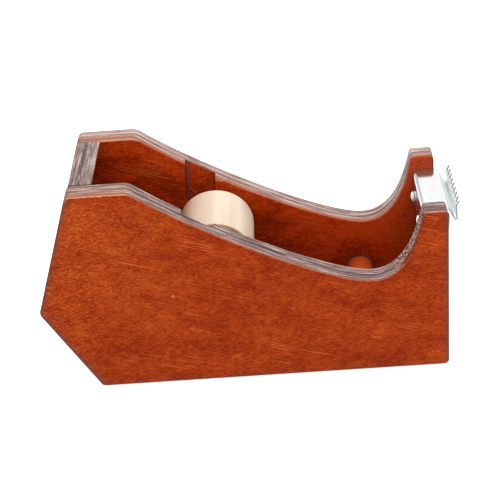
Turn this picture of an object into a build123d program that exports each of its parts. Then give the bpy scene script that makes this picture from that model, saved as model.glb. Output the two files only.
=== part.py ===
"""Desk tape dispenser: a plywood cradle with a lift-out roller and a toothed steel cutter.

Frame: millimetres, +Z up, +X from the heel towards the cutter, -Y the near side.
The origin is under the middle of the whole object, on the surface that it stands on.
Places along X are first given from the back of the foot, and heights from the foot's underside.
"""

import math
import os

from build123d import *

# ---------------------------------------------------------------- driving dimensions

# Side panels
side_thickness = 7.9
gap_width = 30.6  # clear width between the two sides
foot_length = 114.0
heel_reach = 16.8  # how far the heel stands out behind the foot
heel_height = 29.4
top_height = 70.8
top_reach = 2.9  # how far the top rear corner stands out behind the foot
top_flat_length = 19.1
brow_angle = 37.9  # fall of the long slope where it leaves the top flat
brow_pull = 23.1
throat_x = 90.1  # lowest point of the upper edge
throat_height = 33.7
throat_rear_pull = 13.1
throat_front_pull = 11.0
post_height = 56.5
post_depth = 7.4  # top of the post that guards the cutter, along X
post_lean = 12.0
post_pull = 9.1
heel_radius = 3.0
top_rear_radius = 2.3
brow_radius = 5.0
foot_radius = 1.5
post_radius = 1.3
arris_radius = 0.4  # sanded edges of the boards

# Cross panels
panel_thickness = 6.5
rear_panel_thickness = 7.1  # the two rear panels are of thicker board
panel_setback = 0.3  # rear panels stand this far inside the sides' rear edge
glue_line = 0.02  # room left around each glued pin

# Hidden dowel pins
pin_diameter = 4.0
pin_length = 12.0
pin_bite = 4.0  # length of each pin that sits in the side panel
pin_inset = 14.0  # from the end of each panel to its pin, or a quarter of a short panel

# Spacer dowel across the throat
dowel_diameter = 9.0
dowel_x = 88.2
dowel_height = 15.4
dowel_bite = 3.5

# Roller and its axle
roller_diameter = 25.0
roller_width = 23.0
roller_x = 40.5
roller_height = 39.3
roller_edge = 0.6
axle_diameter = 5.0
axle_chamfer = 0.5
running_clearance = 0.05  # radial
end_play = 0.25  # between the axle's ends, or its collars, and the sides
collar_diameter = 9.0
collar_play = 0.15  # between each collar and the roller

# Slots that the axle drops into
slot_width = 10.1
slot_depth = 3.3
slot_x = 35.75  # middle of the knee, where the slot turns forward to its foot
slot_knee_height = 48.6
slot_lean = 4.5  # the slot above its knee leans forward

# Cutter
sheet = 0.5
bracket_play = 0.2  # between the bracket and each side
plate_overhang = 1.7  # how far the plate runs past the front panel
plate_height = 52.1
flange_drop = 11.5
bend_radius = 1.15
shoulder_setback = 0.5  # from the front bend back to the plate's shoulders, either side of the lip
lip_width = 25.0
lip_bend_radius = 0.6
root_radius = 1.15  # where the teeth start to lean out
lip_drop = 4.1
lip_forward = 1.6
lip_hem = 0.65  # flat at the bottom of the fold
hem_radius = 0.26
lip_rise = 5.1
lip_back = 0.2
tooth_height = 1.85
tooth_lean = 34.0
tooth_gaps = 8

# Screws that hold the cutter
screw_diameter = 3.5
screw_spacing = 16.0
screw_drop = 6.1  # below the top of the plate
screw_length = 8.5
screw_head_diameter = 6.2
screw_head_height = 2.0
screw_head_edge = 0.7  # rounding of the head
screw_point = 0.45  # chamfer at the tip
screw_recess_length = 3.4
screw_recess_width = 0.9
screw_recess_depth = 1.2
screw_clearance = 0.2
thread_clearance = 0.05

# Pads under the foot
pad_diameter = 10.0
pad_thickness = 0.6
pad_side_inset = 1.6
pad_end_inset = 5.0

# ---------------------------------------------------------------- derived places

tooth_forward = tooth_height * math.sin(math.radians(tooth_lean))
tooth_rise = tooth_height * math.cos(math.radians(tooth_lean))
lip_tip_forward = lip_forward + lip_hem - lip_back + tooth_forward
front_reach = plate_overhang + lip_tip_forward + sheet / 2 * math.cos(math.radians(tooth_lean))
rear_x = -(foot_length + front_reach - heel_reach) / 2
foot_z = pad_thickness
front_x = rear_x + foot_length
inner_y = gap_width / 2
outer_y = inner_y + side_thickness

sides = {"near": -1, "far": 1}


def at(x, height):
    """Point of the side elevation, given from the back of the foot and its underside."""
    return Vector(rear_x + x, foot_z + height)


def side_plane(y):
    """Side elevation at depth y: its sketches are drawn in X and Z and extruded towards -Y."""
    return Plane.XZ.offset(-y)


def inset_corner(before, corner, after, inset):
    """Point that lies inset inside both edges meeting at a corner of a left-hand outline."""
    first = (corner - before).normalized()
    second = (after - corner).normalized()
    first_normal = Vector(-first.Y, first.X)
    second_normal = Vector(-second.Y, second.X)
    return corner + (first_normal + second_normal) * (inset / (1 + first_normal.dot(second_normal)))


def pin_places(start, end):
    """Two pin centres on the middle line of a panel, one near each of its ends."""
    along = (end - start).normalized() * min(pin_inset, (end - start).length / 4)
    return [start + along, end - along]


# Corners of the side elevation, from the top rear corner round to the front of the foot
top_rear = at(-top_reach, top_height)
heel = at(-heel_reach, heel_height)
foot_rear = at(0, 0)
foot_front = at(foot_length, 0)
post_front = at(foot_length, post_height)
post_rear = at(foot_length - post_depth, post_height)
throat = at(throat_x, throat_height)
brow = at(top_flat_length - top_reach, top_height)

# Rear panels: their outer faces stand panel_setback inside the sides' rear edges
tilt = math.atan2(heel_reach - top_reach, top_height - heel_height)
undercut = math.atan2(heel_reach, heel_height)
heel_out = inset_corner(top_rear, heel, foot_rear, panel_setback)
heel_in = inset_corner(top_rear, heel, foot_rear, panel_setback + rear_panel_thickness)
heel_mid = (heel_out + heel_in) * 0.5
top_out = top_rear + Vector(panel_setback / math.cos(tilt), 0)
top_in = top_out + Vector(rear_panel_thickness / math.cos(tilt), 0)
toe_out = foot_rear + Vector(panel_setback / math.cos(undercut), 0)
toe_in = toe_out + Vector(rear_panel_thickness / math.cos(undercut), 0)
toe_top = toe_in + Vector(-math.tan(undercut), 1) * panel_thickness

# Front panel and cutter
front_panel_rear_x = front_x - panel_thickness
front_panel_top = foot_z + plate_height - sheet
bend_front_x = front_x + plate_overhang
plate_z = foot_z + plate_height
screw_z = plate_z - screw_drop

# Roller and slots
axle_centre = at(roller_x, roller_height)
axle_radius = axle_diameter / 2
slot_knee = at(slot_x, slot_knee_height)
slot_foot = axle_centre + Vector(0, slot_width / 2 - axle_radius - running_clearance)
collar_length = (gap_width - roller_width) / 2 - end_play - collar_play
axle_length = gap_width + 2 * (slot_depth - end_play)

pin_groups = {
    "rear_panel": pin_places((top_out + top_in) * 0.5, heel_mid),
    "lower_rear_panel": pin_places(heel_mid, (toe_out + toe_in) * 0.5),
    "floor_panel": pin_places(
        Vector(toe_in.X, foot_z + panel_thickness / 2),
        Vector(front_panel_rear_x, foot_z + panel_thickness / 2),
    ),
    "front_panel": pin_places(
        Vector(front_x - panel_thickness / 2, foot_z),
        Vector(front_x - panel_thickness / 2, front_panel_top),
    ),
}

os.makedirs("parts", exist_ok=True)


def save(piece, name):
    """Label a finished piece and write it as its own STEP file."""
    piece.part.label = name
    export_step(piece.part, f"parts/{name}.step")


# ---------------------------------------------------------------- side panels


def side_panel(side):
    """One plywood side, with its blind axle slot, dowel seat and pin holes on the inner face."""
    start_y = -inner_y if side < 0 else outer_y
    with BuildPart() as panel:
        with BuildSketch(side_plane(start_y)) as outline:
            with BuildLine():
                Polyline(brow, top_rear, heel, foot_rear, foot_front, post_front, post_rear)
                Bezier(
                    post_rear,
                    post_rear - Vector(0, post_pull).rotate(Axis.Z, -post_lean),
                    throat + Vector(throat_front_pull, 0),
                    throat,
                )
                Bezier(
                    throat,
                    throat - Vector(throat_rear_pull, 0),
                    brow + Vector(brow_pull, 0).rotate(Axis.Z, -brow_angle),
                    brow,
                )
            make_face()
            for corner, radius in (
                (heel, heel_radius),
                (top_rear, top_rear_radius),
                (brow, brow_radius),
                (foot_rear, foot_radius),
                (foot_front, foot_radius),
                (post_front, post_radius),
                (post_rear, post_radius),
            ):
                fillet(outline.vertices().sort_by_distance((corner.X, corner.Y, 0))[0], radius)
        extrude(amount=side_thickness)
        faces = panel.faces().filter_by(Axis.Y)
        fillet(faces.edges(), arris_radius)

        def recess(depth):
            """Plane from which an extrusion of the given depth sinks into the inner face."""
            return side_plane(-inner_y if side < 0 else inner_y + depth)

        with BuildSketch(recess(slot_depth)):
            with Locations(slot_knee, slot_foot):
                Circle(slot_width / 2)
            make_hull()
            with Locations(slot_knee):
                Rectangle(slot_width, top_height, -slot_lean, align=(Align.CENTER, Align.MIN))
        extrude(amount=slot_depth, mode=Mode.SUBTRACT)

        with BuildSketch(recess(dowel_bite)):
            with Locations(at(dowel_x, dowel_height)):
                Circle(dowel_diameter / 2 + glue_line)
        extrude(amount=dowel_bite, mode=Mode.SUBTRACT)

        with BuildSketch(recess(pin_bite + glue_line)):
            for places in pin_groups.values():
                with Locations(*places):
                    Circle(pin_diameter / 2 + glue_line)
        extrude(amount=pin_bite + glue_line, mode=Mode.SUBTRACT)
    return panel


for side_name, side in sides.items():
    save(side_panel(side), f"{side_name}_side_panel")


# ---------------------------------------------------------------- cross panels


def drill_for_pins(places):
    """Pin holes into both ends of the panel being built."""
    depth = pin_length - pin_bite + glue_line
    for start_y in (inner_y, -inner_y + depth):
        with BuildSketch(side_plane(start_y)) as holes:
            with Locations(*places):
                Circle(pin_diameter / 2 + glue_line)
        extrude(holes.sketch, amount=depth, mode=Mode.SUBTRACT)


with BuildPart() as rear_panel:
    with BuildSketch(side_plane(inner_y)):
        with BuildLine():
            Polyline(top_out, heel_out, heel_in, top_in, close=True)
        make_face()
    extrude(amount=gap_width)
    fillet(rear_panel.edges().filter_by(Axis.Y).group_by(Axis.Z)[-1], arris_radius)
    drill_for_pins(pin_groups["rear_panel"])
save(rear_panel, "rear_panel")

with BuildPart() as lower_rear_panel:
    with BuildSketch(side_plane(inner_y)):
        with BuildLine():
            Polyline(heel_out, toe_out, toe_in, heel_in, close=True)
        make_face()
    extrude(amount=gap_width)
    drill_for_pins(pin_groups["lower_rear_panel"])
save(lower_rear_panel, "lower_rear_panel")

with BuildPart() as floor_panel:
    with BuildSketch(side_plane(inner_y)):
        with BuildLine():
            Polyline(
                toe_in,
                (front_panel_rear_x, foot_z),
                (front_panel_rear_x, toe_top.Y),
                toe_top,
                close=True,
            )
        make_face()
    extrude(amount=gap_width)
    drill_for_pins(pin_groups["floor_panel"])
save(floor_panel, "floor_panel")

with BuildPart() as front_panel:
    with BuildSketch(side_plane(inner_y)):
        with BuildLine():
            Polyline(
                (front_panel_rear_x, foot_z),
                (front_x, foot_z),
                (front_x, front_panel_top),
                (front_panel_rear_x, front_panel_top),
                close=True,
            )
        make_face()
    extrude(amount=gap_width)
    fillet(
        front_panel.edges().filter_by(Axis.Y).sort_by_distance((front_x, 0, front_panel_top))[0],
        arris_radius,
    )
    # The rear top edge is rounded to lie inside the bracket's bend
    fillet(
        front_panel.edges()
        .filter_by(Axis.Y)
        .sort_by_distance((front_panel_rear_x, 0, front_panel_top))[0],
        bend_radius,
    )
    drill_for_pins(pin_groups["front_panel"])
    with BuildSketch(Plane.YZ.offset(front_panel_rear_x)):
        with Locations((0, screw_z)):
            with GridLocations(screw_spacing, 0, 2, 1):
                Circle(screw_diameter / 2 + screw_clearance)
    extrude(amount=panel_thickness, mode=Mode.SUBTRACT)
save(front_panel, "front_panel")

for panel_name, places in pin_groups.items():
    with BuildPart() as pins:
        for start_y in (inner_y + pin_bite, -inner_y - pin_bite + pin_length):
            with BuildSketch(side_plane(start_y)):
                with Locations(*places):
                    Circle(pin_diameter / 2)
            extrude(amount=pin_length)
    save(pins, f"{panel_name}_pins")

with BuildPart() as spacer_dowel:
    with BuildSketch(side_plane(inner_y + dowel_bite)):
        with Locations(at(dowel_x, dowel_height)):
            Circle(dowel_diameter / 2)
    extrude(amount=gap_width + 2 * dowel_bite)
save(spacer_dowel, "spacer_dowel")


# ---------------------------------------------------------------- roller, axle and collars


def around_axle(y_from, length, outer_radius, bore_radius=0):
    """Cylinder, or ring, about the axle, running from y_from towards -Y."""
    with BuildSketch(side_plane(y_from)) as section:
        with Locations(axle_centre):
            Circle(outer_radius)
            if bore_radius:
                Circle(bore_radius, mode=Mode.SUBTRACT)
    extrude(section.sketch, amount=length)


with BuildPart() as tape_roller:
    around_axle(roller_width / 2, roller_width, roller_diameter / 2)
    fillet(tape_roller.edges(), roller_edge)
    with BuildSketch(side_plane(roller_width / 2)):
        with Locations(axle_centre):
            Circle(axle_radius + running_clearance)
    extrude(amount=roller_width, mode=Mode.SUBTRACT)
save(tape_roller, "tape_roller")

with BuildPart() as roller_axle:
    around_axle(axle_length / 2, axle_length, axle_radius)
    chamfer(roller_axle.edges().group_by(Axis.Y)[0], axle_chamfer)
    chamfer(roller_axle.edges().group_by(Axis.Y)[-1], axle_chamfer)
save(roller_axle, "roller_axle")

for side_name, side in sides.items():
    with BuildPart() as collar:
        near_end = roller_width / 2 + collar_play
        start_y = -near_end if side < 0 else near_end + collar_length
        around_axle(start_y, collar_length, collar_diameter / 2, axle_radius + glue_line)
    save(collar, f"{side_name}_axle_collar")


# ---------------------------------------------------------------- cutter and its screws

with BuildPart() as cutter_bracket:
    # Flange behind the front panel, plate across its top
    flange_x = front_panel_rear_x - sheet / 2
    mid_z = plate_z - sheet / 2
    with BuildSketch(side_plane(inner_y - bracket_play)):
        with BuildLine():
            FilletPolyline(
                (flange_x, plate_z - flange_drop),
                (flange_x, mid_z),
                (bend_front_x - shoulder_setback, mid_z),
                radius=bend_radius,
            )
        trace(line_width=sheet)
    extrude(amount=gap_width - 2 * bracket_play)
    # Lip: down and forward, folded back up on itself, then leaning out to the tooth roots
    hem_low = Vector(bend_front_x + lip_forward, plate_z - lip_drop)
    hem_out = hem_low + Vector(lip_hem, 0)
    root = hem_out + Vector(-lip_back, lip_rise)
    tip = root + Vector(tooth_forward, tooth_rise)
    with BuildSketch(side_plane(lip_width / 2)):
        with BuildLine():
            FilletPolyline(
                (bend_front_x - 2 * bend_radius, mid_z),
                (bend_front_x - sheet / 2, mid_z),
                hem_low,
                hem_out,
                root,
                tip,
                radius=[lip_bend_radius, hem_radius, hem_radius, root_radius],
            )
        trace(line_width=sheet)
    extrude(amount=lip_width)
    # Teeth: a row of notches cut through the leaning edge, with half a tooth at each end
    tooth_plane = Plane(
        origin=(tip.X, 0, tip.Y), x_dir=(0, 1, 0), z_dir=(tooth_rise, 0, -tooth_forward)
    )
    with BuildSketch(tooth_plane):
        tooth_pitch = lip_width / tooth_gaps
        with GridLocations(tooth_pitch, 0, tooth_gaps, 1):
            Polygon(
                (-tooth_pitch / 2, sheet),
                (-tooth_pitch / 2, 0),
                (0, -tooth_height),
                (tooth_pitch / 2, 0),
                (tooth_pitch / 2, sheet),
                align=None,
            )
    extrude(amount=2 * sheet, both=True, mode=Mode.SUBTRACT)
    with BuildSketch(Plane.YZ.offset(front_panel_rear_x - sheet)):
        with Locations((0, screw_z)):
            with GridLocations(screw_spacing, 0, 2, 1):
                Circle(screw_diameter / 2 + thread_clearance)
    extrude(amount=sheet, mode=Mode.SUBTRACT)
save(cutter_bracket, "cutter_bracket")

with BuildPart() as cutter_screws:
    with BuildSketch(Plane.YZ.offset(front_x - screw_length)):
        with Locations((0, screw_z)):
            with GridLocations(screw_spacing, 0, 2, 1):
                Circle(screw_diameter / 2)
    extrude(amount=screw_length)
    chamfer(cutter_screws.edges().group_by(Axis.X)[0], screw_point)
    with BuildSketch(Plane.YZ.offset(front_x)):
        with Locations((0, screw_z)):
            with GridLocations(screw_spacing, 0, 2, 1):
                Circle(screw_head_diameter / 2)
    extrude(amount=screw_head_height)
    fillet(cutter_screws.edges().group_by(Axis.X)[-1], screw_head_edge)
    with BuildSketch(Plane.YZ.offset(front_x + screw_head_height - screw_recess_depth)):
        with Locations((0, screw_z)):
            with GridLocations(screw_spacing, 0, 2, 1):
                Rectangle(screw_recess_length, screw_recess_width)
                Rectangle(screw_recess_width, screw_recess_length)
    extrude(amount=screw_recess_depth, mode=Mode.SUBTRACT)
save(cutter_screws, "cutter_screws")


# ---------------------------------------------------------------- pads under the foot

pad_y = outer_y - pad_side_inset - pad_diameter / 2
pad_ends = {
    "rear": rear_x + pad_end_inset + pad_diameter / 2,
    "front": front_x - pad_end_inset - pad_diameter / 2,
}
for end_name, pad_x in pad_ends.items():
    for side_name, side in sides.items():
        with BuildPart() as pad:
            with BuildSketch():
                with Locations((pad_x, side * pad_y)):
                    Circle(pad_diameter / 2)
            extrude(amount=pad_thickness)
        save(pad, f"{end_name}_{side_name}_pad")
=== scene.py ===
import math

import bmesh
import bpy
from mathutils import Matrix, Vector


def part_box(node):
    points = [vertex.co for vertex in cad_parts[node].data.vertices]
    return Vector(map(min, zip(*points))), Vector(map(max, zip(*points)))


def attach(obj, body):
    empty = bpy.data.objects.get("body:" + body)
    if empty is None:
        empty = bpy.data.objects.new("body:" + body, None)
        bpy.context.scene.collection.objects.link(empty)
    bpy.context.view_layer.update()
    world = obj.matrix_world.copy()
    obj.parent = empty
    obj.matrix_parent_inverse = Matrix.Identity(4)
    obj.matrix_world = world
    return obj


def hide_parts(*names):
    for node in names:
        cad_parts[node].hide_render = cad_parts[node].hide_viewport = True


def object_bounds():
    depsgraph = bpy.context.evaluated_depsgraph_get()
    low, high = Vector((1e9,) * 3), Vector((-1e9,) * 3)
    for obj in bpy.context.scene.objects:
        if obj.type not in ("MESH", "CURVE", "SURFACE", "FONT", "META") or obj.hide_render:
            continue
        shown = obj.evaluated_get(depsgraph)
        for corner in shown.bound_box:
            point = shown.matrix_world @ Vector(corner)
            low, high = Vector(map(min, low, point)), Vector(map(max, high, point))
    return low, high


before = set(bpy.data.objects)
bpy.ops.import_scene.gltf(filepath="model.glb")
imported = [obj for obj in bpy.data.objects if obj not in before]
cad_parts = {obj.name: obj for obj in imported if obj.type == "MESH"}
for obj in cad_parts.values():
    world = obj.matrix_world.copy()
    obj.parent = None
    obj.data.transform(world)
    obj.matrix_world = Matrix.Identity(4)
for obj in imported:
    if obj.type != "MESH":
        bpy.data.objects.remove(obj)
cad_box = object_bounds()


# ==== Side boards ====
# Two sides cut from thick birch plywood whose faces were stained orange-brown in the sheet. The
# cut edges were only sanded, so the plies show bare, palest along the top; painted shade greys
# the arrises, and painted shade and light colour the inner faces.

stain_brown = "8A310B"
stain_deep = "6C1A01"
stain_red = "A22C06"
stain_gold = "A7511D"
scratch_gold = "B9602A"
glue_dark = "2E2426"
rim_salmon = "88523D"
peach_wood = "B98560"
soil_and_shade_grey = "4C3832"
white_fleck = "C2B2AE"
pit_black = "2A1F22"
pit_pale = "C2ABA1"
plain_veneer = "8B736D"
plain_core = "6B5C5A"
near_veneer = "866B65"
near_core = "665552"
far_veneer = "AD8E85"
far_core = "8C746E"

face_patch = 0.011
face_blotch = 0.0024
dash_width = 0.00030
fibre_width = 0.00020
scratch_width = 0.00011
bare_roughness = 0.8
face_roughness = 0.5
face_specular = 0.03

# Colour of each layer through the board, from its inner face at 0 to its outer face at 1
core_layers = (
    (0.0, 0.1), (0.10, 0.2), (0.16, 0.8), (0.22, 0.2), (0.34, 0.3), (0.40, 1), (0.54, 1), (0.60, 0),
    (0.66, 0), (0.70, 0.7), (0.76, 0.6), (0.82, 0.1), (1.0, 0.1),
)
glue_layers = (
    (0.13, 0), (0.16, 0.8), (0.19, 0), (0.38, 0), (0.40, 0.5), (0.43, 0.1), (0.47, 0.9), (0.50, 0.1),
    (0.55, 0.7), (0.58, 0), (0.71, 0), (0.74, 0.9), (0.77, 0),
)


def paint(code):
    """Linear colour, with alpha, of a six-digit sRGB code."""
    channels = [int(code[i:i + 2], 16) / 255 for i in (0, 2, 4)]
    return [c / 12.92 if c <= 0.04045 else ((c + 0.055) / 1.055) ** 2.4 for c in channels] + [1.0]


def add(tree, kind, links=None, **settings):
    """New shader node; links gives inputs, by name or number, a value or another node's socket."""
    made = tree.nodes.new(kind)
    for key, value in settings.items():
        setattr(made, key, value)
    for key, value in (links or {}).items():
        if isinstance(value, bpy.types.NodeSocket):
            tree.links.new(value, made.inputs[key])
        else:
            made.inputs[key].default_value = value
    return made


def calc(tree, operation, *values, clamp=False):
    """Result of a Math node."""
    node = add(tree, "ShaderNodeMath", dict(enumerate(values)), operation=operation, use_clamp=clamp)
    return node.outputs[0]


def product(tree, *values):
    """All the values multiplied together."""
    total = values[0]
    for value in values[1:]:
        total = calc(tree, "MULTIPLY", total, value)
    return total


def largest(tree, *values):
    """The largest of the values."""
    most = values[0]
    for value in values[1:]:
        most = calc(tree, "MAXIMUM", most, value)
    return most


def dot(tree, vector, direction):
    """Length of a vector along a fixed direction."""
    made = add(tree, "ShaderNodeVectorMath", {0: vector, 1: direction}, operation="DOT_PRODUCT")
    return made.outputs["Value"]


def distance(tree, first, second):
    """Length of the two offsets taken together."""
    flat = add(tree, "ShaderNodeCombineXYZ", {0: first, 1: second}).outputs[0]
    return add(tree, "ShaderNodeVectorMath", {0: flat}, operation="LENGTH").outputs["Value"]


def spread(tree, value, low, high, out_low=0.0, out_high=1.0):
    """Value carried smoothly from the range low to high onto another range."""
    made = add(
        tree,
        "ShaderNodeMapRange",
        {0: value, 1: low, 2: high, 3: out_low, 4: out_high},
        interpolation_type="SMOOTHSTEP",
    )
    return made.outputs[0]


def fade(tree, value, full, none, left=0.0):
    """Mask that is 1 up to the value full and falls smoothly to what is left at the value none."""
    return spread(tree, value, full, none, 1.0, left)


def blend(tree, factor, first, second):
    """Mix of two colours."""
    made = add(tree, "ShaderNodeMix", {0: factor, 6: first, 7: second}, data_type="RGBA")
    return made.outputs[2]


def noise(tree, vector, scale, detail=2.0, roughness=0.5, distortion=0.0):
    """Value of a Noise Texture."""
    made = add(
        tree,
        "ShaderNodeTexNoise",
        {"Vector": vector, "Scale": scale, "Detail": detail, "Roughness": roughness,
         "Distortion": distortion},
    )
    return made.outputs["Fac"]


def stretched(tree, vector, factors, shift=(0.0, 0.0, 0.0)):
    """Vector moved, then scaled by a factor for each axis."""
    made = add(tree, "ShaderNodeVectorMath", {0: vector, 1: shift}, operation="ADD")
    scaled = add(tree, "ShaderNodeVectorMath", {0: made.outputs[0], 1: factors}, operation="MULTIPLY")
    return scaled.outputs[0]


def layers(tree, value, stops):
    """Grey level read off a ramp of positions and levels."""
    ramp = add(tree, "ShaderNodeValToRGB", {0: value})
    slots = ramp.color_ramp.elements
    while len(slots) < len(stops):
        slots.new(1.0)
    for slot, (position, level) in zip(slots, stops):
        slot.position = position
        slot.color = (level, level, level, 1.0)
    return ramp.outputs[0]


def new_group(name, inputs, outputs):
    """Empty shader group: its tree, its input node and its output node."""
    tree = bpy.data.node_groups.new(name, "ShaderNodeTree")
    for label, kind, value in inputs:
        socket = tree.interface.new_socket(label, in_out="INPUT", socket_type=kind)
        socket.default_value = value
    for label, kind in outputs:
        tree.interface.new_socket(label, in_out="OUTPUT", socket_type=kind)
    return tree, tree.nodes.new("NodeGroupInput"), tree.nodes.new("NodeGroupOutput")


VECTOR = "NodeSocketVector"
NUMBER = "NodeSocketFloat"
COLOUR = "NodeSocketColor"
ORIGIN = (0.0, 0.0, 0.0)

# Fine scratches: sparse, nearly straight lines at Angle to the grain. Vector is in metres.
scratches, given, results = new_group(
    "Fine scratches",
    [("Vector", VECTOR, ORIGIN), ("Angle", NUMBER, 0.4), ("Sparseness", NUMBER, 0.6)],
    [("Mask", NUMBER)],
)
turned = add(
    scratches, "ShaderNodeVectorRotate",
    {"Vector": given.outputs["Vector"], "Angle": given.outputs["Angle"]},
    rotation_type="Z_AXIS",
).outputs[0]
bent = add(
    scratches, "ShaderNodeVectorMath",
    {0: turned, 1: stretched(scratches, turned, (0.02, 0.0, 0.0))},
    operation="ADD",
).outputs[0]
lines = noise(scratches, stretched(scratches, bent, (0.010, 1.0, 0.3)), 0.5 / scratch_width, 0.0)
places = noise(scratches, stretched(scratches, turned, (0.6, 1.0, 1.0), (0.3, 0.1, 0.0)), 85.0, 2.0)
beyond = calc(scratches, "ADD", given.outputs["Sparseness"], 0.08)
kept_places = spread(scratches, places, given.outputs["Sparseness"], beyond)
scratch_mask = product(scratches, spread(scratches, lines, 0.66, 0.76), kept_places)
scratches.links.new(scratch_mask, results.inputs["Mask"])

# Plywood: Vector is in metres with X along the grain and Z through the board, Across runs from 0
# at the inner face to 1 at the outer, and Facing is 1 on both faces. Tone deepens the colour, and
# Redness reddens it; on inner faces both carry painted shade and painted light. On a cut edge
# Speckle is end grain, Rim is stain that bled past an arris, Peach is bare warm wood, Streaking is
# the strength of the streaks, and Veneer and Core are the colours of the plies. Soil is a mask for
# grey marks, painted shade along arrises and painted shadow in hollows, and Chip for torn bare wood.
plywood, given, results = new_group(
    "Plywood",
    [("Vector", VECTOR, ORIGIN), ("Across", NUMBER, 0.5), ("Facing", NUMBER, 1.0), ("Tone", NUMBER, 0.0),
     ("Soil", NUMBER, 0.0), ("Chip", NUMBER, 0.0), ("Speckle", NUMBER, 0.0), ("Rim", NUMBER, 0.0),
     ("Peach", NUMBER, 0.0), ("Redness", NUMBER, 0.0), ("Streaking", NUMBER, 1.0),
     ("Veneer", COLOUR, paint(plain_veneer)), ("Core", COLOUR, paint(plain_core))],
    [("Color", COLOUR), ("Roughness", NUMBER), ("Height", NUMBER)],
)
local = given.outputs["Vector"]

patches = noise(plywood, stretched(plywood, local, (0.6, 1.0, 1.0)), 1 / face_patch, 3.0, 0.55, 0.3)
blotches = noise(plywood, stretched(plywood, local, (0.55, 1.0, 1.0)), 1 / face_blotch, 3.0, 0.6, 0.5)
dashes = noise(plywood, stretched(plywood, local, (0.30, 1.0, 1.0)), 1 / dash_width, 2.0, 0.6, 0.05)
fibres = noise(plywood, stretched(plywood, local, (0.10, 1.0, 1.0)), 1 / fibre_width, 1.0)
stain = calc(plywood, "MULTIPLY_ADD", patches, 0.36, calc(plywood, "MULTIPLY_ADD", blotches, 0.38, -0.11))
dash_weight = spread(plywood, given.outputs["Tone"], 0.1, 0.5, 0.62, 0.42)
fibre_weight = spread(plywood, given.outputs["Tone"], 0.1, 0.5, 0.26, 0.50)
even_dashes = calc(plywood, "SUBTRACT", dashes, 0.5)
even_fibres = calc(plywood, "SUBTRACT", fibres, 0.5)
stain = calc(plywood, "MULTIPLY_ADD", even_dashes, dash_weight, calc(plywood, "ADD", stain, 0.44))
stain = calc(plywood, "MULTIPLY_ADD", even_fibres, fibre_weight, stain)
stain = calc(plywood, "SUBTRACT", stain, calc(plywood, "MULTIPLY", given.outputs["Tone"], 0.16))
redder = given.outputs["Redness"]
main_stain = blend(plywood, redder, paint(stain_brown), paint(stain_red))
pale_stain = blend(plywood, product(plywood, redder, 0.6), paint(stain_gold), paint(stain_red))
face_colour = blend(plywood, spread(plywood, stain, 0.48, 0.72), paint(stain_deep), main_stain)
face_colour = blend(plywood, spread(plywood, stain, 0.68, 0.94), face_colour, pale_stain)
crisp = spread(plywood, given.outputs["Tone"], 0.1, 0.5, 1.2, 0.28)
pale_dashes = product(plywood, spread(plywood, dashes, 0.56, 0.68), crisp, 0.8)
dark_dashes = product(plywood, fade(plywood, dashes, 0.32, 0.44), crisp, 0.65)
face_colour = blend(plywood, pale_dashes, face_colour, pale_stain)
face_colour = blend(plywood, dark_dashes, face_colour, paint(stain_deep))
worn = 0.0
for angle, sparseness in ((0.36, 0.60), (0.30, 0.56), (-0.45, 0.66), (0.9, 0.68)):
    marks = add(
        plywood, "ShaderNodeGroup",
        {"Vector": stretched(plywood, local, (1.0, 1.0, 1.0), (angle, sparseness, 0.0)), "Angle": angle,
         "Sparseness": sparseness},
        node_tree=scratches,
    )
    worn = calc(plywood, "MAXIMUM", worn, marks.outputs["Mask"])
face_colour = blend(plywood, product(plywood, worn, 0.7), face_colour, paint(scratch_gold))

wander = calc(plywood, "SUBTRACT", noise(plywood, local, 140.0, 2.0), 0.5)
ripple = noise(plywood, stretched(plywood, local, (0.35, 0.35, 1.0)), 1700.0, 2.0)
ripple = calc(plywood, "SUBTRACT", ripple, 0.5)
depth = calc(plywood, "MULTIPLY_ADD", wander, 0.09, given.outputs["Across"])
ripple_size = calc(plywood, "MULTIPLY_ADD", given.outputs["Speckle"], 0.4, 0.05)
depth = calc(plywood, "MULTIPLY_ADD", ripple, ripple_size, depth)
core = layers(plywood, depth, core_layers)
glue = layers(plywood, depth, glue_layers)
streaks = noise(plywood, stretched(plywood, local, (0.045, 0.045, 1.0)), 2100.0, 3.0, 0.7, 0.1)
pits = noise(plywood, local, 1950.0, 1.0, 0.8)
edge_colour = blend(plywood, core, given.outputs["Veneer"], given.outputs["Core"])
dark_streaks = product(plywood, spread(plywood, streaks, 0.52, 0.60), given.outputs["Streaking"], 0.7)
pale_streaks = product(plywood, fade(plywood, streaks, 0.38, 0.46), given.outputs["Streaking"], 0.75)
edge_colour = blend(plywood, dark_streaks, edge_colour, paint(glue_dark))
edge_colour = blend(plywood, pale_streaks, edge_colour, paint(white_fleck))
edge_colour = blend(plywood, product(plywood, glue, 0.6), edge_colour, paint(glue_dark))
edge_colour = blend(plywood, given.outputs["Rim"], edge_colour, paint(rim_salmon))
edge_colour = blend(plywood, given.outputs["Peach"], edge_colour, paint(peach_wood))
dark_pits = product(plywood, spread(plywood, pits, 0.51, 0.55), given.outputs["Speckle"])
pale_pits = product(plywood, fade(plywood, pits, 0.42, 0.46), given.outputs["Speckle"])
edge_colour = blend(plywood, dark_pits, edge_colour, paint(pit_black))
edge_colour = blend(plywood, pale_pits, edge_colour, paint(pit_pale))

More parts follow.
